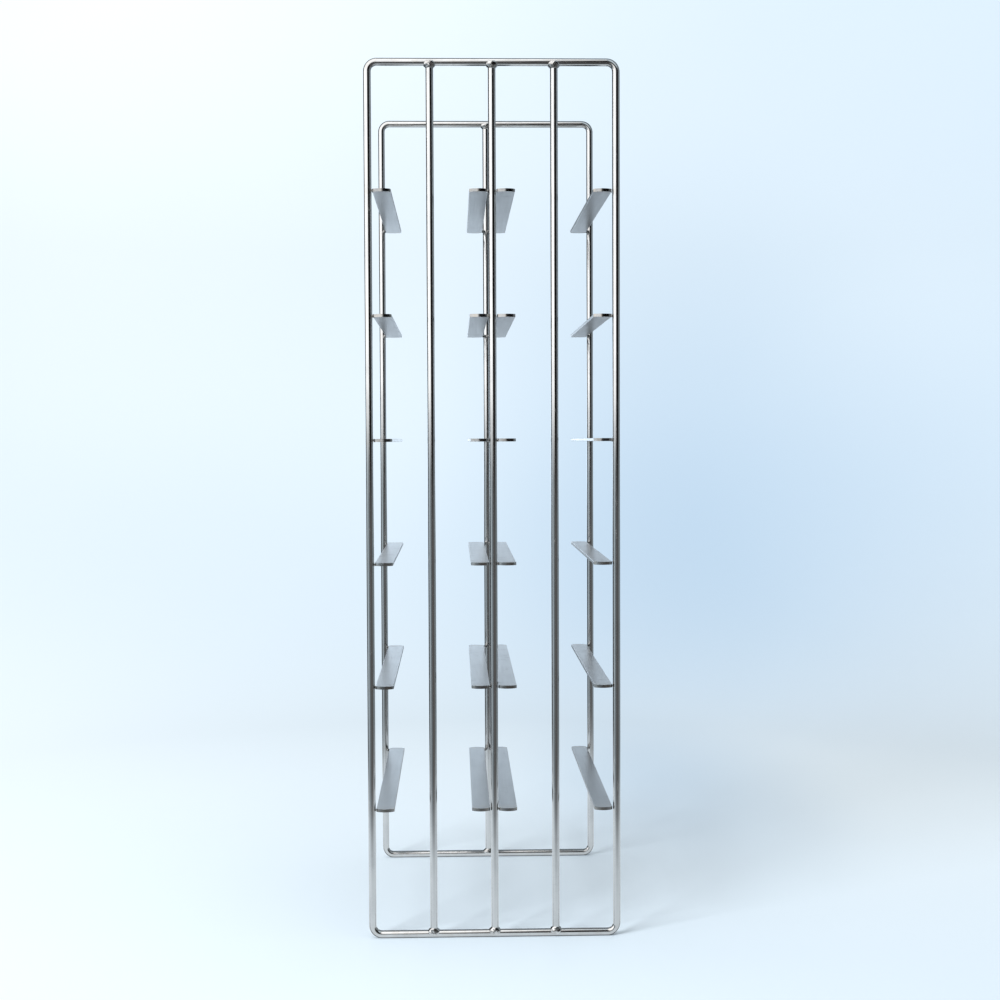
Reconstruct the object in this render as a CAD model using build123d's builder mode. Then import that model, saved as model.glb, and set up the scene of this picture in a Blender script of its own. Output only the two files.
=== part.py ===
from build123d import *
import os

# Welded stainless test tube rack: two round-bar frames tied together by flat runners.
# Millimetres, +Z up. The frames stand across X and are spaced along Y.
# The front face, with five bars, looks towards -Y. Racks slide in from the open rear face.
# The origin is on the floor, in the middle of the footprint.

os.makedirs("parts", exist_ok=True)

# Driving dimensions
BAR_DIAMETER = 5.0          # round bar of the frames and uprights
FRAME_WIDTH = 163.0         # between the bar axes of a frame's two sides
FRAME_HEIGHT = 576.0        # between the bar axes of a frame's bottom and top
FRAME_SPACING = 205.0       # between the planes of the front and rear frames
CORNER_RADIUS = 6.2         # bend radius at the bar axis
RUNNER_WIDTH = 12.0         # flat bar
RUNNER_THICKNESS = 2.0
RUNNER_OVERHANG = 3.5       # past the bar axis, at each end
RUNNER_END_RISE = 2.5       # how far the rounded end bulges
RUNNER_EDGE_RADIUS = 0.3
RUNNER_GAP = 0.5            # between a runner's edge and its post, bridged by weld
LEVELS = 6
LEVEL_PITCH = 81.8
TEE_WELD_REACH = 4.4        # along the horizontal bar, from the upright's axis
TEE_WELD_HEIGHT = 6.0       # along the upright, from the horizontal bar's axis
TEE_WELD_FOOT = 1.0         # lowest point of the weld, from the horizontal bar's axis
TEE_WELD_PROUD = 0.4        # past the bar's surface
TEE_WELD_ROUNDING = 0.35
RUNNER_WELD_RADIUS = 1.9
RUNNER_WELD_SETBACK = 2.0   # from the post's axis, along the runner

# Derived sizes
bar_radius = BAR_DIAMETER / 2
bottom_z = bar_radius
top_z = bottom_z + FRAME_HEIGHT
side_x = FRAME_WIDTH / 2
front_y = -FRAME_SPACING / 2
rear_y = FRAME_SPACING / 2
upright_length = FRAME_HEIGHT - BAR_DIAMETER
runner_half_length = FRAME_SPACING / 2 + RUNNER_OVERHANG
runner_shoulder_y = runner_half_length - RUNNER_END_RISE
runner_offset = bar_radius + RUNNER_GAP + RUNNER_WIDTH / 2
lowest_runner_z = bottom_z + (FRAME_HEIGHT - (LEVELS - 1) * LEVEL_PITCH) / 2
level_heights = [lowest_runner_z + level * LEVEL_PITCH for level in range(LEVELS)]
tee_half_width = bar_radius + TEE_WELD_PROUD

# Each frame with the x of the uprights between its two sides
frame_uprights = [
    ("front", front_y, {"left": -side_x / 2, "centre": 0.0, "right": side_x / 2}),
    ("rear", rear_y, {"centre": 0.0}),
]

# Columns of runners: name, x of the posts they are welded to, and the side they stand on
runner_columns = [
    ("left", -side_x, 1),
    ("centre_left", 0.0, -1),
    ("centre_right", 0.0, 1),
    ("right", side_x, -1),
]


def finish(builder, name):
    """Label a finished sub-part and write it to its own file."""
    builder.part.label = name
    export_step(builder.part, f"parts/{name}.step")


# Frames: one round bar each, bent into a closed rectangle with rounded corners
for frame_name, frame_y, _ in frame_uprights:
    frame_middle = (0, frame_y, bottom_z + FRAME_HEIGHT / 2)
    with BuildPart() as frame:
        with BuildSketch(Plane(origin=frame_middle, x_dir=(1, 0, 0), z_dir=(0, -1, 0))) as loop:
            RectangleRounded(FRAME_WIDTH, FRAME_HEIGHT, CORNER_RADIUS)
        with BuildSketch(Plane(origin=(0, frame_y, bottom_z), z_dir=(1, 0, 0))) as section:
            Circle(bar_radius)
        sweep(sections=section.sketch, path=loop.sketch.face().outer_wire(), mode=Mode.REPLACE)
    finish(frame, f"{frame_name}_frame")


# Uprights: straight round bars, cut square, standing between the horizontal bars
for frame_name, frame_y, uprights in frame_uprights:
    for upright_name, upright_x in uprights.items():
        with BuildPart() as upright:
            with BuildSketch(Plane((upright_x, frame_y, bottom_z + bar_radius))):
                Circle(bar_radius)
            extrude(amount=upright_length)
        finish(upright, f"{frame_name}_{upright_name}_upright")


# Runners: flat bars with slightly bulged ends, one along each side of every bay
with BuildSketch() as runner_outline:
    with BuildLine():
        Line((RUNNER_WIDTH / 2, 0), (RUNNER_WIDTH / 2, runner_shoulder_y))
        ThreePointArc(
            (RUNNER_WIDTH / 2, runner_shoulder_y),
            (0, runner_half_length),
            (-RUNNER_WIDTH / 2, runner_shoulder_y),
        )
        Line((-RUNNER_WIDTH / 2, runner_shoulder_y), (-RUNNER_WIDTH / 2, 0))
        mirror(about=Plane.XZ)
    make_face()

for column_name, post_x, side in runner_columns:
    for level, height in enumerate(level_heights, start=1):
        with BuildPart() as runner:
            with BuildSketch(Plane((post_x + side * runner_offset, 0, height - RUNNER_THICKNESS / 2))):
                add(runner_outline.sketch)
            extrude(amount=RUNNER_THICKNESS)
            fillet(runner.edges().filter_by(Axis.Y), RUNNER_EDGE_RADIUS)
        finish(runner, f"{column_name}_runner_{level}")


# One tee weld: a concave fillet on both sides of an upright, where it stands on a horizontal bar.
# The horizontal bar's axis is X and the upright rises along Z.
with BuildPart() as tee_weld:
    with BuildSketch(Plane.XZ):
        with BuildLine():
            Line((0, TEE_WELD_FOOT), (TEE_WELD_REACH, TEE_WELD_FOOT))
            Line((TEE_WELD_REACH, TEE_WELD_FOOT), (TEE_WELD_REACH, bar_radius))
            TangentArc((TEE_WELD_REACH, bar_radius), (tee_half_width, TEE_WELD_HEIGHT), tangent=(-1, 0.6))
            Line((tee_half_width, TEE_WELD_HEIGHT), (0, TEE_WELD_HEIGHT))
            mirror(about=Plane.YZ)
        make_face()
    extrude(amount=tee_half_width, both=True)
    outer_faces = tee_weld.faces().filter_by(Axis.Y)
    fillet(outer_faces.edges(), TEE_WELD_ROUNDING)
    Cylinder(bar_radius, 4 * BAR_DIAMETER, rotation=(0, 90, 0), mode=Mode.SUBTRACT)
    with BuildSketch(Plane.XY.offset(bar_radius)):
        Circle(bar_radius)
    extrude(amount=BAR_DIAMETER, mode=Mode.SUBTRACT)

for frame_name, frame_y, uprights in frame_uprights:
    with BuildPart() as upright_welds:
        for upright_x in uprights.values():
            with Locations(Location((upright_x, frame_y, bottom_z))):
                add(tee_weld.part)
            with Locations(Location((upright_x, frame_y, top_z), (180, 0, 0))):
                add(tee_weld.part)
    finish(upright_welds, f"{frame_name}_upright_welds")


# One runner weld: two beads in the notches between a post and the runner beside it.
# The post's axis is Z, the runner is on the +X side and its near end points to -Y.
# Each bead is a ball whose poles lie along X, inside the post and the runner that are cut from it.
with BuildPart() as runner_weld:
    bead_x = bar_radius + RUNNER_GAP / 2
    with Locations((bead_x, -RUNNER_WELD_SETBACK, 0), (bead_x, RUNNER_WELD_SETBACK, 0)):
        Sphere(RUNNER_WELD_RADIUS, rotation=(0, 90, 0))
    Cylinder(bar_radius, 2 * BAR_DIAMETER, mode=Mode.SUBTRACT)
    with BuildSketch(Plane((runner_offset, FRAME_SPACING / 2, -RUNNER_THICKNESS / 2))):
        add(runner_outline.sketch)
    extrude(amount=RUNNER_THICKNESS, mode=Mode.SUBTRACT)
    # dressed flush, so that nothing stands on the face that a rack slides over
    with BuildSketch(Plane((runner_offset, 0, RUNNER_THICKNESS / 2))):
        Rectangle(RUNNER_WIDTH, 2 * BAR_DIAMETER)
    extrude(amount=RUNNER_WELD_RADIUS, mode=Mode.SUBTRACT)

# The weld is mirrored for a runner on the other side of its post, and for the rear frame.
for frame_name, frame_y, _ in frame_uprights:
    with BuildPart() as runner_welds:
        for _, post_x, side in runner_columns:
            weld = runner_weld.part
            if side < 0:
                weld = mirror(weld, about=Plane.YZ, mode=Mode.PRIVATE)
            if frame_name == "rear":
                weld = mirror(weld, about=Plane.XZ, mode=Mode.PRIVATE)
            with Locations([(post_x, frame_y, height) for height in level_heights]):
                add(weld)
    finish(runner_welds, f"{frame_name}_runner_welds")
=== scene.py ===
import math

import bmesh
import bpy
import numpy as np
from mathutils import Matrix, Vector, noise


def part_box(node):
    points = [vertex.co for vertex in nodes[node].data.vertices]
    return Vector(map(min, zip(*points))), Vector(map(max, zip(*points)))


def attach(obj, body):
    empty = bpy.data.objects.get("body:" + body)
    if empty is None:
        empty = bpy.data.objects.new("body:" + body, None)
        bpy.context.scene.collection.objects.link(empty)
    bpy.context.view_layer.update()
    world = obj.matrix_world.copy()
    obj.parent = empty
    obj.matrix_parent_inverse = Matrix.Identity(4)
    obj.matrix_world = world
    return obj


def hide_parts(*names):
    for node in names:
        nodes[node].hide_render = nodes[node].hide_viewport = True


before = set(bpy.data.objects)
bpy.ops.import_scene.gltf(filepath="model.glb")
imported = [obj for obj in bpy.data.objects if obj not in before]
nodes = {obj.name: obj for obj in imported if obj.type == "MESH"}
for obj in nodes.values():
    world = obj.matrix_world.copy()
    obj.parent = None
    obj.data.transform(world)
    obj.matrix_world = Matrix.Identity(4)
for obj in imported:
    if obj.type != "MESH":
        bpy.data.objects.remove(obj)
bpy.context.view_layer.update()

MM = 0.001

# ---------------------------------------------------------------- places, read from the frame


def middle(node):
    """Centre of a CAD node's box."""
    low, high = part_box(node)
    return (low + high) / 2


frame_low, frame_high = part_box("front_frame")
bar_radius = (frame_high.y - frame_low.y) / 2
front_y = middle("front_frame").y
rear_y = middle("rear_frame").y
bottom_z = frame_low.z + bar_radius
top_z = frame_high.z - bar_radius
side_x = frame_high.x - bar_radius
middle_z = (bottom_z + top_z) / 2
half_height = (top_z - bottom_z) / 2

LEVELS = 6
COLUMNS = ("left", "centre_left", "centre_right", "right")
level_heights = [middle(f"left_runner_{level}").z for level in range(1, LEVELS + 1)]
level_pitch = level_heights[1] - level_heights[0]
runner_low, runner_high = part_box("left_runner_1")
runner_half_length = (runner_high.y - runner_low.y) / 2
runner_half_thickness = (runner_high.z - runner_low.z) / 2
post_x = {"left": -side_x, "centre_left": 0.0, "centre_right": 0.0, "right": side_x}


# ---------------------------------------------------------------- node helpers


class Shader:
    """A material's node tree, with short calls for the few kinds of node that it needs."""

    def __init__(self, name):
        self.material = bpy.data.materials.new(name)
        self.material.use_nodes = True
        self.tree = self.material.node_tree
        self.tree.nodes.clear()
        self.output = self.tree.nodes.new("ShaderNodeOutputMaterial")

    def node(self, kind, settings=None, **inputs):
        """A new node, with its settings and its inputs, which may be values or other nodes' outputs."""
        made = self.tree.nodes.new(kind)
        for key, value in (settings or {}).items():
            setattr(made, key, value)
        for key, value in inputs.items():
            self.feed(made.inputs[key.replace("_", " ")], value)
        return made

    def feed(self, socket, value):
        """Links or sets a socket."""
        if isinstance(value, bpy.types.NodeSocket):
            self.tree.links.new(value, socket)
        else:
            socket.default_value = value

    def math(self, operation, first, second=0.0, third=0.0):
        made = self.tree.nodes.new("ShaderNodeMath")
        made.operation = operation
        for socket, value in zip(made.inputs, (first, second, third)):
            self.feed(socket, value)
        return made.outputs[0]

    def place(self):
        """Object coordinates, in metres in the object's frame."""
        return self.node("ShaderNodeTexCoord").outputs["Object"]

    def split(self, vector):
        """The X, Y and Z of a vector."""
        return self.node("ShaderNodeSeparateXYZ", Vector=vector).outputs

    def stretched(self, vector, scale):
        """The vector with its axes scaled: noise gets finer along an axis with a larger scale."""
        made = self.node("ShaderNodeMapping", {"vector_type": "POINT"}, Vector=vector)
        made.inputs["Scale"].default_value = scale
        return made.outputs[0]

    def noise(self, vector, detail=3.0, roughness=0.55, scale=1.0):
        made = self.node("ShaderNodeTexNoise", Vector=vector)
        made.inputs["Scale"].default_value = scale
        made.inputs["Detail"].default_value = detail
        made.inputs["Roughness"].default_value = roughness
        return made.outputs[0]

    def ramp(self, value, low, high, to_low=0.0, to_high=1.0):
        """value smoothly from low..high to to_low..to_high, held outside."""
        made = self.tree.nodes.new("ShaderNodeMapRange")
        made.interpolation_type = "SMOOTHSTEP"
        made.clamp = True
        for key, number in (("From Min", low), ("From Max", high), ("To Min", to_low), ("To Max", to_high)):
            self.feed(made.inputs[key], number)
        self.feed(made.inputs["Value"], value)
        return made.outputs[0]

    def blend(self, factor, first, second):
        """Colours mixed by factor."""
        made = self.tree.nodes.new("ShaderNodeMix")
        made.data_type = "RGBA"
        self.feed(made.inputs[0], factor)
        self.feed(made.inputs[6], first)
        self.feed(made.inputs[7], second)
        return made.outputs[2]

    def bump(self, height, distance, strength=1.0, normal=None):
        """A normal bent by height, on top of the given normal."""
        made = self.tree.nodes.new("ShaderNodeBump")
        made.inputs["Strength"].default_value = strength
        made.inputs["Distance"].default_value = distance
        self.feed(made.inputs["Height"], height)
        if normal is not None:
            self.feed(made.inputs["Normal"], normal)
        return made.outputs[0]

    def glow(self, cover, colour, strength):
        """Finishes a material that is a light where cover is 1 and clear where it is 0."""
        light = self.node("ShaderNodeEmission", Color=(*colour, 1.0), Strength=strength)
        clear = self.node("ShaderNodeBsdfTransparent")
        mix = self.node("ShaderNodeMixShader")
        self.tree.links.new(cover, mix.inputs[0])
        self.tree.links.new(clear.outputs[0], mix.inputs[1])
        self.tree.links.new(light.outputs[0], mix.inputs[2])
        self.tree.links.new(mix.outputs[0], self.output.inputs["Surface"])
        self.material.cycles.emission_sampling = "NONE"
        return self.material

    def metal(self, colour, roughness, normal):
        """Finishes a bare metal."""
        made = self.tree.nodes.new("ShaderNodeBsdfPrincipled")
        made.inputs["Metallic"].default_value = 1.0
        self.feed(made.inputs["Base Color"], colour)
        self.feed(made.inputs["Roughness"], roughness)
        self.feed(made.inputs["Normal"], normal)
        self.tree.links.new(made.outputs[0], self.output.inputs["Surface"])
        return self.material


# ---------------------------------------------------------------- metals

# Noise scales are per metre: 2600 makes lines about 0.4 mm apart, 18 patches of about 50 mm.

STEEL = (0.61, 0.615, 0.615, 1.0)
STEEL_DULL = (0.51, 0.515, 0.52, 1.0)
STRAW_TINT = (0.46, 0.41, 0.34, 1.0)
SCUFF_GREY = (0.75, 0.74, 0.72, 1.0)
BRUSHED_DARK = (0.30, 0.31, 0.32, 1.0)
SHADE_DARK = (0.02, 0.02, 0.02, 1.0)
MARK_GREY = (0.40, 0.40, 0.40, 1.0)
WELD_BRIGHT = (0.66, 0.66, 0.655, 1.0)
WELD_DULL = (0.50, 0.495, 0.485, 1.0)
WELD_STRAW = (0.40, 0.35, 0.29, 1.0)
WELD_PIT = (0.10, 0.095, 0.09, 1.0)


def height_from_middle(shader, z):
    """Distance along z to the middle of the rack's height."""
    return shader.math("ABSOLUTE", shader.math("SUBTRACT", z, middle_z))


def level_distance(shader, z):
    """Distance along z to the nearest level of runners."""
    phase = shader.math("ADD", z, level_pitch / 2 - level_heights[0])
    wrapped = shader.math("FLOORED_MODULO", phase, level_pitch)
    return shader.math("ABSOLUTE", shader.math("SUBTRACT", wrapped, level_pitch / 2))


def drawn_bar(name, has_runners):
    """Bright drawn round bar: fine lines along the bar, soft smudges, and a faint tint by its welds."""
    s = Shader(name)
    place = s.place()
    z = s.split(place)[2]
    from_middle = height_from_middle(s, z)
    lying = s.ramp(from_middle, half_height - 6 * MM, half_height - 3 * MM)
    lines_up = s.noise(s.stretched(place, (2600, 2600, 18)), detail=4)
    lines_across = s.noise(s.stretched(place, (18, 2600, 2600)), detail=4)
    lines = s.math("MULTIPLY_ADD", lying, s.math("SUBTRACT", lines_across, lines_up), lines_up)
    smudges = s.noise(place, detail=4, scale=55)
    waves = s.noise(s.stretched(place, (40, 40, 11)), detail=2)
    scuffs = s.ramp(s.noise(s.stretched(place, (260, 260, 90)), detail=5), 0.62, 0.72)

    tint = s.ramp(from_middle, half_height - 12 * MM, half_height - 4 * MM, 0.0, 0.08)
    if has_runners:
        near = s.ramp(level_distance(s, z), 1.5 * MM, 5.5 * MM, 0.22, 0.0)
        tint = s.math("MAXIMUM", tint, near)
    tint = s.math("MULTIPLY", tint, s.ramp(s.noise(place, detail=3, scale=300), 0.35, 0.7))
    colour = s.blend(s.ramp(smudges, 0.42, 0.68, 0.0, 0.45), STEEL, STEEL_DULL)
    colour = s.blend(s.math("MULTIPLY", scuffs, 0.25), colour, SCUFF_GREY)
    colour = s.blend(tint, colour, STRAW_TINT)

    rough = s.ramp(smudges, 0.35, 0.7, 0.07, 0.13)
    rough = s.math("MULTIPLY_ADD", lines, 0.05, rough)
    rough = s.math("MULTIPLY_ADD", scuffs, 0.14, rough)
    rough = s.math("MULTIPLY_ADD", tint, 0.15, rough)
    normal = s.bump(waves, 0.15 * MM, 0.5)
    normal = s.bump(lines, 0.012 * MM, 0.6, normal)
    return s.metal(colour, rough, normal)


def brushed_flat(name):
    """Satin flat bar: brushed along its length, ground across near its ends, with finger marks and tint.
    Its end faces are smoother, and painted shade makes it darker far from the middle of the rack's height."""
    s = Shader(name)
    place = s.place()
    y, z = s.split(place)[1:]
    along = s.noise(s.stretched(place, (2400, 16, 2400)), detail=5, roughness=0.65)
    across = s.noise(s.stretched(place, (30, 1900, 1900)), detail=4, roughness=0.6)
    from_end = s.math("SUBTRACT", runner_half_length, s.math("ABSOLUTE", y))
    at_end = s.ramp(from_end, 4 * MM, 11 * MM, 0.9, 0.0)
    brushing = s.math("MULTIPLY_ADD", at_end, s.math("SUBTRACT", across, along), along)
    cloud = s.noise(s.stretched(place, (45, 22, 45)), detail=4)
    marks = s.ramp(s.noise(place, detail=5, roughness=0.6, scale=150), 0.56, 0.7)
    scratches = s.ramp(s.noise(s.stretched(place, (700, 40, 700)), detail=2), 0.68, 0.74)

    tint = s.ramp(from_end, 3 * MM, 13 * MM, 0.5, 0.0)
    tint = s.math("MULTIPLY", tint, s.ramp(s.noise(place, detail=3, scale=220), 0.4, 0.7))
    colour = s.blend(s.ramp(cloud, 0.35, 0.7, 0.0, 0.6), STEEL, STEEL_DULL)
    depth = s.math("MULTIPLY_ADD", at_end, 0.45, 0.12)
    grooves = s.math("MULTIPLY", s.ramp(brushing, 0.36, 0.62, 1.0, 0.0), depth)
    colour = s.blend(grooves, colour, BRUSHED_DARK)
    # Painted shade: the runners darken towards SHADE_DARK the further their level lies from the middle of
    # the rack's height.
    painted_level_shade = s.ramp(height_from_middle(s, z), 30 * MM, 190 * MM, 0.0, 0.46)
    colour = s.blend(painted_level_shade, colour, SHADE_DARK)
    colour = s.blend(s.math("MULTIPLY", marks, 0.35), colour, MARK_GREY)
    colour = s.blend(tint, colour, STRAW_TINT)

    facing_y = s.split(s.node("ShaderNodeNewGeometry").outputs["Normal"])[1]
    end_face = s.ramp(s.math("ABSOLUTE", facing_y), 0.4, 0.7)
    rough = s.ramp(brushing, 0.3, 0.7, 0.31, 0.37)
    rough = s.math("MULTIPLY_ADD", end_face, -0.17, rough)
    rough = s.math("MULTIPLY_ADD", marks, 0.07, rough)
    rough = s.math("MULTIPLY_ADD", scratches, -0.04, rough)
    normal = s.bump(cloud, 0.2 * MM, 0.4)
    normal = s.bump(brushing, 0.004 * MM, 0.5, normal)
    normal = s.bump(scratches, -0.01 * MM, 0.4, normal)
    return s.metal(colour, rough, normal)


def weld_metal(name):
    """Cleaned weld metal: duller than the bars, pitted, with straw tint in patches."""
    s = Shader(name)
    place = s.place()
    grain = s.noise(place, detail=6, roughness=0.6, scale=1500)
    patches = s.noise(place, detail=3, scale=420)
    spots = s.ramp(s.noise(place, detail=2, scale=900), 0.66, 0.72)
    colour = s.blend(s.ramp(patches, 0.35, 0.65), WELD_BRIGHT, WELD_DULL)
    colour = s.blend(s.ramp(patches, 0.58, 0.75, 0.0, 0.3), colour, WELD_STRAW)
    colour = s.blend(s.math("MULTIPLY", spots, 0.7), colour, WELD_PIT)
    rough = s.ramp(grain, 0.3, 0.7, 0.10, 0.26)
    rough = s.math("MULTIPLY_ADD", spots, 0.25, rough)
    normal = s.bump(grain, 0.04 * MM, 0.6)
    normal = s.bump(spots, -0.08 * MM, 0.6, normal)
    return s.metal(colour, rough, normal)


post_metal = drawn_bar("drawn_bar_with_runners", True)
plain_bar_metal = drawn_bar("drawn_bar", False)
flat_metal = brushed_flat("brushed_flat_bar")
bead_metal = weld_metal("weld_metal")


def set_material(piece, material):
    """Gives the whole piece one material."""
    for material_slot in piece.material_slots:
        material_slot.material = material
    if not piece.material_slots:
        piece.data.materials.append(material)


for node_name, piece in nodes.items():
    if "_runner_" in node_name and "welds" not in node_name:
        set_material(piece, flat_metal)
    elif node_name in ("front_left_upright", "front_right_upright"):
        set_material(piece, plain_bar_metal)
    elif "welds" not in node_name:
        set_material(piece, post_metal)


# ---------------------------------------------------------------- welds

# The fields below are distances in metres, negative inside the metal, for many points at once.


def soft_min(a, b, width):
    """The lesser of a and b, with a fillet of about that width where they are equal."""
    h = np.clip(0.5 + 0.5 * (b - a) / width, 0.0, 1.0)
    return b + (a - b) * h - width * h * (1 - h)


def soft_max(a, b, width):
    """The greater of a and b, rounded in the same way."""
    return -soft_min(-a, -b, width)


def lumps(points, size, seed):
    """Smooth noise from -1 to 1 at each point; lumps are about that size."""
    shift = Vector((seed * 7.31, seed * 3.17, seed * 5.73))
    return np.array([noise.noise(Vector(p) / size + shift) for p in points])


def ellipsoid(points, centre, radii):
    """Roughly the distance to an ellipsoid."""
    scaled = (points - np.array(centre)) / np.array(radii)
    return (np.linalg.norm(scaled, axis=1) - 1.0) * min(radii)


COARSE_STEPS = 24
HALVINGS = 10


def skin(mesh, centre, field, reach, detail, to_frame):
    """Adds a closed skin to mesh: on every ray from centre it lies where field leaves the metal."""
    ball = bmesh.new()
    bmesh.ops.create_icosphere(ball, subdivisions=detail, radius=1.0)
    ball.verts.ensure_lookup_table()
    rays = np.array([v.co for v in ball.verts])
    rays /= np.linalg.norm(rays, axis=1)[:, None]
    centre = np.array(centre)
    inner = np.zeros(len(rays))
    step = reach / COARSE_STEPS
    open_rays = np.ones(len(rays), bool)
    for _ in range(COARSE_STEPS):
        outside = field(centre + rays * (inner + step)[:, None]) > 0
        open_rays &= ~outside
        inner[open_rays] += step
    outer = inner + step
    for _ in range(HALVINGS):
        half = (inner + outer) / 2
        outside = field(centre + rays * half[:, None]) > 0
        outer = np.where(outside, half, outer)
        inner = np.where(outside, inner, half)
    for vertex, point in zip(ball.verts, centre + rays * inner[:, None]):
        vertex.co = to_frame @ Vector(point)
    if to_frame.determinant() < 0:
        bmesh.ops.reverse_faces(ball, faces=ball.faces)
    part = bpy.data.meshes.new("part")
    ball.to_mesh(part)
    ball.free()
    mesh.from_mesh(part)
    bpy.data.meshes.remove(part)


def finish_welds(mesh, name, node):
    """Makes the piece that replaces a CAD node's welds."""
    data = bpy.data.meshes.new(name)
    for face in mesh.faces:
        face.smooth = True
    mesh.to_mesh(data)
    mesh.free()
    piece = bpy.data.objects.new(name, data)
    bpy.context.scene.collection.objects.link(piece)
    set_material(piece, bead_metal)
    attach(piece, "root")
    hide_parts(node)


TEE_REACH = 4.1 * MM              # half the weld's width along the horizontal bar
TEE_HEIGHT = 3.3 * MM             # half its height along the upright
TEE_LIFT = 1.5 * MM               # its middle, from the horizontal bar's axis
TEE_DEPTH = 4.2 * MM
TEE_SWELL = 0.25 * MM
TEE_UNDER = -0.6 * MM             # its lowest point, from the horizontal bar's axis
TEE_FILLET = 3.0 * MM
RIPPLE = 0.07 * MM
RIPPLE_LENGTH = 1.0 * MM
TEE_LUMP = 0.16 * MM              # height of the lumps on its face, and their size
TEE_LUMP_SIZE = 1.6 * MM
TEE_OUTLINE_LUMP = 0.3 * MM       # the same for its outline
TEE_OUTLINE_LUMP_SIZE = 2.5 * MM
TEE_OUTLINE_ROUNDING = 0.35 * MM
TEE_UNDER_ROUNDING = 0.3 * MM
TEE_RAY_LENGTH = 8 * MM
TEE_DETAIL = 4


def tee_field(seed):
    """Weld round the end of an upright. X runs along the horizontal bar and Z along the upright."""

    def field(points):
        x, y, z = points.T
        horizontal = np.hypot(y, z) - bar_radius
        upright = np.maximum(np.hypot(x, y) - bar_radius, -z)
        angle = np.arctan2(y, x)
        phase = angle * 2 * bar_radius / RIPPLE_LENGTH * math.pi + 3 * z / RIPPLE_LENGTH
        ripple = RIPPLE * np.sin(phase + seed)
        swell = TEE_SWELL + ripple + TEE_LUMP * lumps(points, TEE_LUMP_SIZE, seed)
        metal = soft_min(horizontal, upright, TEE_FILLET) - swell
        limit = ellipsoid(points, (0, 0, TEE_LIFT), (TEE_REACH, TEE_DEPTH, TEE_HEIGHT))
        limit = limit + TEE_OUTLINE_LUMP * lumps(points, TEE_OUTLINE_LUMP_SIZE, seed + 40)
        below = TEE_UNDER - z
        return soft_max(soft_max(metal, limit, TEE_OUTLINE_ROUNDING), below, TEE_UNDER_ROUNDING)

    return field


upright_places = {
    "front": [middle(f"front_{name}_upright").x for name in ("left", "centre", "right")],
    "rear": [middle("rear_centre_upright").x],
}
for frame_name, frame_y in (("front", front_y), ("rear", rear_y)):
    welds = bmesh.new()
    for index, upright_x in enumerate(upright_places[frame_name]):
        for end, (bar_z, turn) in enumerate(((bottom_z, 0.0), (top_z, math.pi))):
            to_frame = Matrix.Translation((upright_x, frame_y, bar_z)) @ Matrix.Rotation(turn, 4, "X")
            seed = 1 + index * 2 + end + (10 if frame_name == "rear" else 0)
            skin(welds, (0, 0, TEE_LIFT), tee_field(seed), TEE_RAY_LENGTH, TEE_DETAIL, to_frame)
    finish_welds(welds, f"{frame_name}_tee_beads", f"{frame_name}_upright_welds")


BEAD_SETBACK = 2.1 * MM           # from the post's axis, along the runner
BEAD_SIZE = (1.75 * MM, 1.7 * MM, 1.6 * MM)# half sizes
BEAD_FILLET = 1.5 * MM
BEAD_SWELL = 0.10 * MM
BEAD_LUMP = 0.14 * MM             # height of the lumps on its face, and their size
BEAD_LUMP_SIZE = 0.9 * MM
BEAD_OUTLINE_LUMP = 0.18 * MM     # the same for its outline
BEAD_OUTLINE_LUMP_SIZE = 1.3 * MM
BEAD_OUTLINE_ROUNDING = 0.3 * MM
BEAD_FLUSH_ROUNDING = 0.12 * MM
BEAD_LIFT = -0.1 * MM             # its middle, from the runner's middle plane
BEAD_SHIFT = -0.15 * MM           # its middle, from the runner's edge
BEAD_RAY_SHIFT = -0.1 * MM        # the same for the centre of its rays
BEAD_RAY_LENGTH = 3 * MM
BEAD_DETAIL = 3
END_RISE = 2.5 * MM               # how far a runner's rounded end bulges


def bead_field(seed, side, edge_gap, half_width, overhang):
    """A bead in the notch between a post and a runner. X runs from the post's axis to the runner and
    Y out of the rack; the runner's middle plane is z = 0."""
    edge = bar_radius + edge_gap

    def field(points):
        x, y, z = points.T
        post = np.hypot(x, y) - bar_radius
        over = (x - edge - half_width) / half_width
        end_y = overhang - END_RISE * np.clip(np.abs(over), 0, 1.3) ** 2
        runner = np.maximum(np.maximum(edge - x, y - end_y), np.abs(z) - runner_half_thickness)
        swell = BEAD_SWELL + BEAD_LUMP * lumps(points, BEAD_LUMP_SIZE, seed)
        metal = soft_min(post, runner, BEAD_FILLET) - swell
        limit = ellipsoid(points, (edge + BEAD_SHIFT, side * BEAD_SETBACK, BEAD_LIFT), BEAD_SIZE)
        limit = limit + BEAD_OUTLINE_LUMP * lumps(points, BEAD_OUTLINE_LUMP_SIZE, seed + 50)
        flush = z - runner_half_thickness
        return soft_max(soft_max(metal, limit, BEAD_OUTLINE_ROUNDING), flush, BEAD_FLUSH_ROUNDING)

    return field


for frame_name, frame_y in (("front", front_y), ("rear", rear_y)):
    outwards = -1 if frame_name == "front" else 1
    welds = bmesh.new()
    seed = 100 if frame_name == "front" else 300
    for column in COLUMNS:
        for level in range(1, LEVELS + 1):
            low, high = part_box(f"{column}_runner_{level}")
            half_width = (high.x - low.x) / 2
            axis_x = post_x[column]
            hand = 1 if (low.x + high.x) / 2 > axis_x else -1
            edge_gap = min(abs(low.x - axis_x), abs(high.x - axis_x)) - bar_radius
            overhang = runner_half_length - abs(frame_y)
            to_frame = Matrix.Translation((axis_x, frame_y, (low.z + high.z) / 2))
            to_frame = to_frame @ Matrix.Diagonal((hand, outwards, 1, 1))
            for side in (-1, 1):
                seed += 1
                field = bead_field(seed, side, edge_gap, half_width, overhang)
                centre = (bar_radius + edge_gap + BEAD_RAY_SHIFT, side * BEAD_SETBACK, BEAD_LIFT)
                skin(welds, centre, field, BEAD_RAY_LENGTH, BEAD_DETAIL, to_frame)
    finish_welds(welds, f"{frame_name}_runner_beads", f"{frame_name}_runner_welds")


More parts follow.
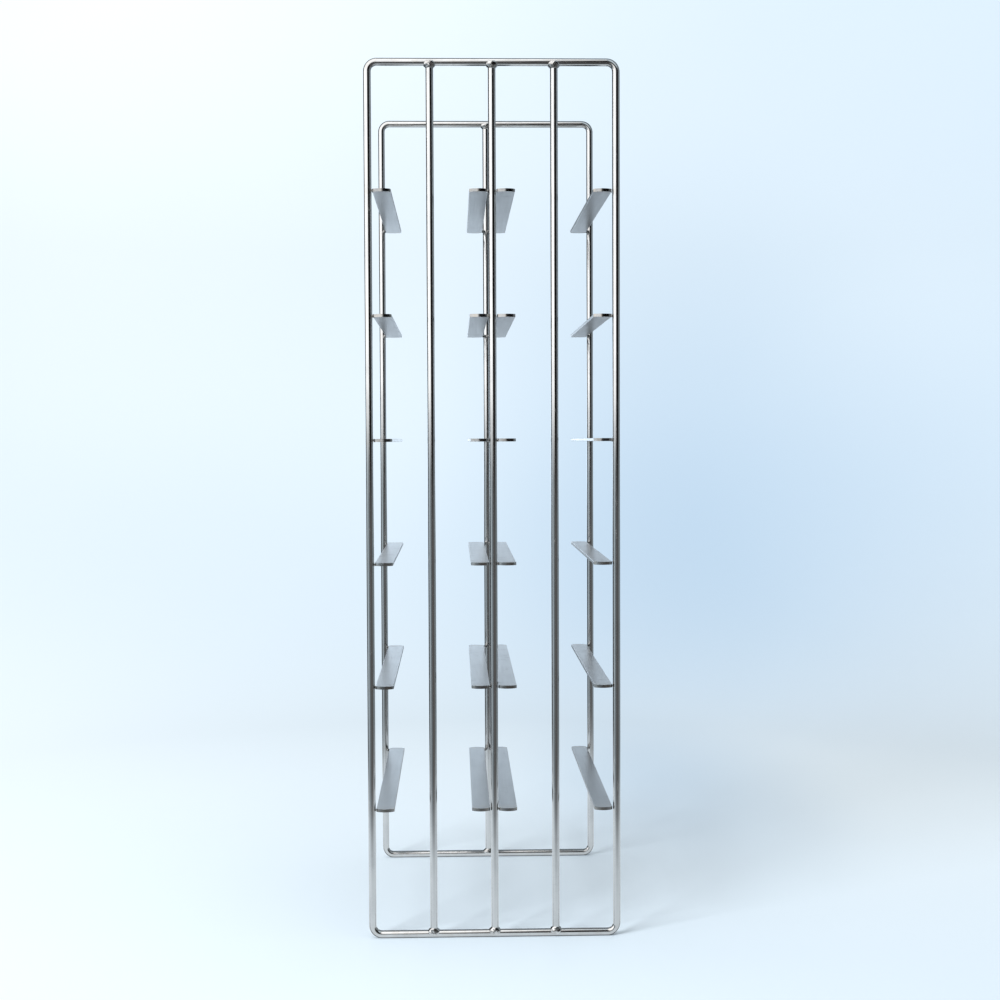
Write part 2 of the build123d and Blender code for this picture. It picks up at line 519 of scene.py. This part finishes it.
# ---------------------------------------------------------------- stage

FLOOR_RADIUS = 0.72
SWEEP_RADIUS = 0.62
SWEEP_STEPS = 16
WALL_TOP = 2.2
PAPER = (0.92, 0.98, 1.0, 1.0)
PAPER_SHADE = (0.50, 0.63, 0.76, 1.0)


def paper():
    """Pale paper with painted light and shade: it falls into a soft blue painted shade to the right and
    carries the rack's painted shadow on the wall and on the floor behind it. The shade is a matter of its
    colour, so it stays in place for any camera."""
    s = Shader("pale_paper")
    place = s.place()

    def spot(depth, centre, size):
        """A soft round patch of painted shade, or of painted light where depth is negative."""
        moved = s.node("ShaderNodeMapping", {"vector_type": "TEXTURE"}, Vector=place)
        moved.inputs["Location"].default_value = centre
        moved.inputs["Scale"].default_value = size
        length = s.node("ShaderNodeVectorMath", {"operation": "LENGTH"})
        s.tree.links.new(moved.outputs[0], length.inputs[0])
        return s.ramp(length.outputs["Value"], 0.0, 1.0, depth, 0.0)

    # Painted light and shade: a painted falloff of light from left to right, the rack's painted shadow on
    # the right of the wall, painted light at the upper left and on the floor to the left, painted shade low
    # on the wall and at the far right, the rack's painted shadow on the floor behind it, and painted light
    # on the floor to its right.
    across = s.ramp(s.split(place)[0], -0.75, 0.90, 0.32, 0.59)
    right_wall = spot(0.42, centre=(0.30, 1.05, 0.28), size=(0.47, 0.95, 0.60))
    painted_light_upper_left = spot(-0.42, centre=(-0.75, 1.10, 1.15), size=(1.25, 1.20, 0.95))
    painted_light_left_floor = spot(-0.11, centre=(-0.60, 0.60, 0.00), size=(0.80, 0.90, 0.35))
    painted_shade_low_wall = spot(0.14, centre=(-0.25, 1.15, 0.10), size=(1.70, 0.75, 0.34))
    painted_shade_far_right = spot(0.15, centre=(0.75, 1.20, 0.28), size=(0.38, 0.80, 0.32))
    painted_rack_shadow_on_floor = spot(0.34, centre=(0.18, 0.37, 0.00), size=(0.20, 0.44, 0.25))
    painted_light_right_floor = spot(-0.24, centre=(0.42, 0.32, 0.00), size=(0.42, 0.75, 0.25))
    shade = across
    for patch in (right_wall, painted_light_upper_left, painted_light_left_floor, painted_shade_low_wall, painted_shade_far_right, painted_rack_shadow_on_floor, painted_light_right_floor):
        shade = s.math("ADD", shade, patch)
    cloud = s.noise(place, detail=1, scale=4)
    shader = s.node("ShaderNodeBsdfDiffuse")
    s.feed(shader.inputs["Color"], s.blend(s.math("MULTIPLY_ADD", cloud, 0.03, shade), PAPER, PAPER_SHADE))
    s.tree.links.new(shader.outputs[0], s.output.inputs["Surface"])
    return s.material


TURN_STEPS = 128
NEAR_AXIS = 0.01            # a profile that starts nearer to Z than this is closed in the middle


def revolve(name, profile):
    """A surface turned round Z from a profile of (radius, z)."""
    mesh = bmesh.new()
    rings = []
    for radius, z in profile:
        ring = []
        for step in range(TURN_STEPS):
            angle = 2 * math.pi * step / TURN_STEPS
            ring.append(mesh.verts.new((radius * math.cos(angle), radius * math.sin(angle), z)))
        rings.append(ring)
    for lower, upper in zip(rings, rings[1:]):
        for step in range(TURN_STEPS):
            after = (step + 1) % TURN_STEPS
            mesh.faces.new((lower[step], lower[after], upper[after], upper[step]))
    if profile[0][0] < NEAR_AXIS:
        mesh.faces.new(list(reversed(rings[0])))
    for face in mesh.faces:
        face.smooth = True
    data = bpy.data.meshes.new(name)
    mesh.to_mesh(data)
    mesh.free()
    made = bpy.data.objects.new(name, data)
    bpy.context.scene.collection.objects.link(made)
    return made


sweep = [(FLOOR_RADIUS * share, 0.0) for share in (0.005, 0.25, 0.5, 0.75, 1.0)]
for step in range(1, SWEEP_STEPS + 1):
    angle = math.pi / 2 * step / SWEEP_STEPS
    sweep.append((FLOOR_RADIUS + SWEEP_RADIUS * math.sin(angle), SWEEP_RADIUS * (1 - math.cos(angle))))
sweep.append((FLOOR_RADIUS + SWEEP_RADIUS, WALL_TOP))
backdrop = revolve("backdrop", sweep)
backdrop.data.materials.append(paper())
backdrop.visible_glossy = False
backdrop.visible_diffuse = False
backdrop.visible_shadow = False


# ---------------------------------------------------------------- light

TARGET = Vector((0, 0, 0.29))     # about the middle of the rack


def softbox(name, azimuth, height, distance, size, power, colour=(1, 1, 1)):
    """An area light aimed at the rack. Azimuth 0 is the camera's side and 90 the left."""
    angle = math.radians(azimuth)
    data = bpy.data.lights.new(name, "AREA")
    data.shape = "RECTANGLE"
    data.size, data.size_y = size
    data.energy = power
    data.color = colour
    made = bpy.data.objects.new(name, data)
    made.location = (-distance * math.sin(angle), -distance * math.cos(angle), height)
    made.rotation_euler = (TARGET - made.location).to_track_quat("-Z", "Y").to_euler()
    made.visible_glossy = False
    made.visible_camera = False
    bpy.context.scene.collection.objects.link(made)


softbox("key", azimuth=44, height=1.6, distance=2.6, size=(1.3, 1.2), power=80, colour=(0.97, 1.0, 1.03))
softbox("overhead", azimuth=0, height=2.1, distance=0.2, size=(1.6, 1.6), power=8)


def only_reflected(piece):
    """Only reflections see the piece."""
    piece.visible_camera = False
    piece.visible_diffuse = False
    piece.visible_shadow = False
    piece.visible_transmission = False
    piece.visible_volume_scatter = False


PANEL_COLUMNS = 48
PANEL_ROWS = 24


def panel(name, azimuths, elevations, strength, edges, colour=(1.0, 1.0, 1.0), radius=1.25, lean=0,
          dim=None):
    """A curved glowing panel that only reflections see. Azimuth 0 is the camera's side, and positive is
    the right; elevation is from the rack's middle. edges are the soft margins, in degrees:
    left, right, bottom, top. The right edge swings out by lean degrees, mostly at the top. With
    dim = (start, end, share) the panel brightens across its width from that share of its strength."""
    width = azimuths[1] - azimuths[0]
    height = elevations[1] - elevations[0]
    mesh = bmesh.new()
    uv = mesh.loops.layers.uv.new("across_and_up")
    grid = []
    for row in range(PANEL_ROWS + 1):
        elevation = math.radians(elevations[0] + height * row / PANEL_ROWS)
        line = []
        for column in range(PANEL_COLUMNS + 1):
            azimuth = math.radians(azimuths[0] + width * column / PANEL_COLUMNS)
            flat = Vector((math.sin(azimuth), -math.cos(azimuth), 0)) * math.cos(elevation)
            line.append(mesh.verts.new(TARGET + (flat + Vector((0, 0, math.sin(elevation)))) * radius))
        grid.append(line)
    for row in range(PANEL_ROWS):
        for column in range(PANEL_COLUMNS):
            corners = ((row, column), (row, column + 1), (row + 1, column + 1), (row + 1, column))
            face = mesh.faces.new([grid[r][c] for r, c in corners])
            for loop, (r, c) in zip(face.loops, corners):
                loop[uv].uv = (c / PANEL_COLUMNS, r / PANEL_ROWS)
    data = bpy.data.meshes.new(name)
    mesh.to_mesh(data)
    mesh.free()
    made = bpy.data.objects.new(name, data)
    bpy.context.scene.collection.objects.link(made)
    only_reflected(made)
    s = Shader(name)
    u, v = s.split(s.node("ShaderNodeTexCoord").outputs["UV"])[:2]
    left, right, bottom, top = edges
    held_back = s.math("SUBTRACT", 1.0, s.math("MULTIPLY", v, v))
    leaning = s.math("MULTIPLY_ADD", held_back, lean / width, u)
    cover = s.math("MULTIPLY", s.ramp(u, 0, left / width), s.ramp(leaning, 1 - right / width, 1, 1.0, 0.0))
    cover = s.math("MULTIPLY", cover, s.ramp(v, 0, bottom / height))
    cover = s.math("MULTIPLY", cover, s.ramp(v, 1 - top / height, 1, 1.0, 0.0))
    if dim:
        start, end, share = dim
        strength = s.math("MULTIPLY", s.ramp(u, start, end, share, 1.0), strength)
    data.materials.append(s.glow(cover, colour, strength))


PAPER_GLOW = (0.74, 0.87, 1.0)
PAPER_DIM = (0.38, 0.60, 0.70)
BLUISH = (0.80, 0.92, 1.0)
panel("left_sail", (-98, 44), (-1, 88), strength=1.75, edges=(4, 16, 8, 10), lean=40)
panel("ceiling", (62, 262), (48, 90), strength=0.34, edges=(30, 20, 22, 1), colour=PAPER_GLOW, radius=1.28)
panel("right_high", (10, 82), (29, 84), strength=1.0, edges=(14, 16, 12, 8), colour=BLUISH, radius=1.29)
panel("left_card", (-100, -30), (-24, 8), strength=0.66, edges=(5, 30, 10, 8), colour=BLUISH, radius=1.26)
panel("left_wall", (-100, 2), (-32, 10), strength=0.24, edges=(5, 24, 10, 6), colour=BLUISH, radius=1.27)
panel("right_wall", (56, 150), (-30, 60), strength=0.34, edges=(14, 14, 10, 20), colour=BLUISH)
panel("low_front", (-40, 75), (-34, 2), strength=0.13, edges=(20, 14, 10, 6), radius=1.28)
panel("paper_band", (140, 220), (-6, 15), strength=2.5, edges=(12, 12, 6, 11), colour=PAPER_GLOW,
      radius=1.26, dim=PAPER_DIM)
panel("paper_behind", (140, 220), (-40, 60), strength=0.44, edges=(12, 12, 8, 20), colour=PAPER_GLOW,
      radius=1.27, dim=PAPER_DIM)


TABLE_Z = 0.4 * MM          # just above the floor
TABLE_GLOW = (0.86, 0.94, 1.0)


def table_top():
    """The floor as reflections see it: a glowing stand-in for the lit paper that fades out away from the
    rack, mostly to the front, with painted shade right under the lowest bars and painted light a little
    stronger to the left."""
    made = revolve("table_top", [(radius, TABLE_Z) for radius in (0.005, 0.3, 0.6, 1.0)])
    only_reflected(made)
    s = Shader("table_top")
    x, y = s.split(s.place())[:2]
    distance = s.math("SQRT", s.math("ADD", s.math("MULTIPLY", x, x), s.math("MULTIPLY", y, y)))
    fade = s.math("MULTIPLY", s.ramp(distance, 0.28, 0.72, 1.0, 0.0), s.ramp(y, -0.62, -0.12))
    # Painted shadow: a thin dark line in the glow along the front and rear frames, right under their bottom
    # bars.
    from_bar = s.math("ABSOLUTE", s.math("SUBTRACT", s.math("ABSOLUTE", y), abs(front_y)))
    painted_contact_shadow = s.ramp(from_bar, 0.8 * MM, 2.4 * MM)
    # Painted light: the glow is a little stronger to the left than to the right.
    strength = s.math("MULTIPLY", s.ramp(x, -0.25, 0.25, 1.10, 0.88), painted_contact_shadow)
    made.data.materials.append(s.glow(fade, TABLE_GLOW, strength))


table_top()


WORLD_PALE = (0.96, 0.985, 1.0, 1.0)
WORLD_STRENGTH = 0.60
WORLD_IN_REFLECTIONS = (0.008, 0.008, 0.008, 1.0)


def world_light():
    """Pale to the eye and to the paper, and nearly dark in reflections between the panels."""
    world = bpy.data.worlds.new("studio")
    bpy.context.scene.world = world
    world.use_nodes = True
    tree = world.node_tree
    tree.nodes.clear()
    output = tree.nodes.new("ShaderNodeOutputWorld")
    rays = tree.nodes.new("ShaderNodeLightPath")
    pale = tree.nodes.new("ShaderNodeBackground")
    pale.inputs["Color"].default_value = WORLD_PALE
    pale.inputs["Strength"].default_value = WORLD_STRENGTH
    dark = tree.nodes.new("ShaderNodeBackground")
    dark.inputs["Color"].default_value = WORLD_IN_REFLECTIONS
    mix = tree.nodes.new("ShaderNodeMixShader")
    tree.links.new(rays.outputs["Is Glossy Ray"], mix.inputs[0])
    tree.links.new(pale.outputs[0], mix.inputs[1])
    tree.links.new(dark.outputs[0], mix.inputs[2])
    tree.links.new(mix.outputs[0], output.inputs["Surface"])


world_light()


# ---------------------------------------------------------------- camera

# A pinhole camera fitted to the bars of the photograph; its turns are in degrees.
CAMERA_PLACE = (-0.0252, -1.1515, 0.3316)
CAMERA_TURN = (87.824, 0.2245, -1.6245)
LENS = 57.17

camera_data = bpy.data.cameras.new("camera")
camera_data.lens = LENS
camera_data.sensor_width = 36
camera_data.clip_start = 0.01
camera = bpy.data.objects.new("camera", camera_data)
camera.location = CAMERA_PLACE
camera.rotation_euler = [math.radians(angle) for angle in CAMERA_TURN]
bpy.context.scene.collection.objects.link(camera)
bpy.context.scene.camera = camera

bpy.context.scene.view_settings.view_transform = "Standard"
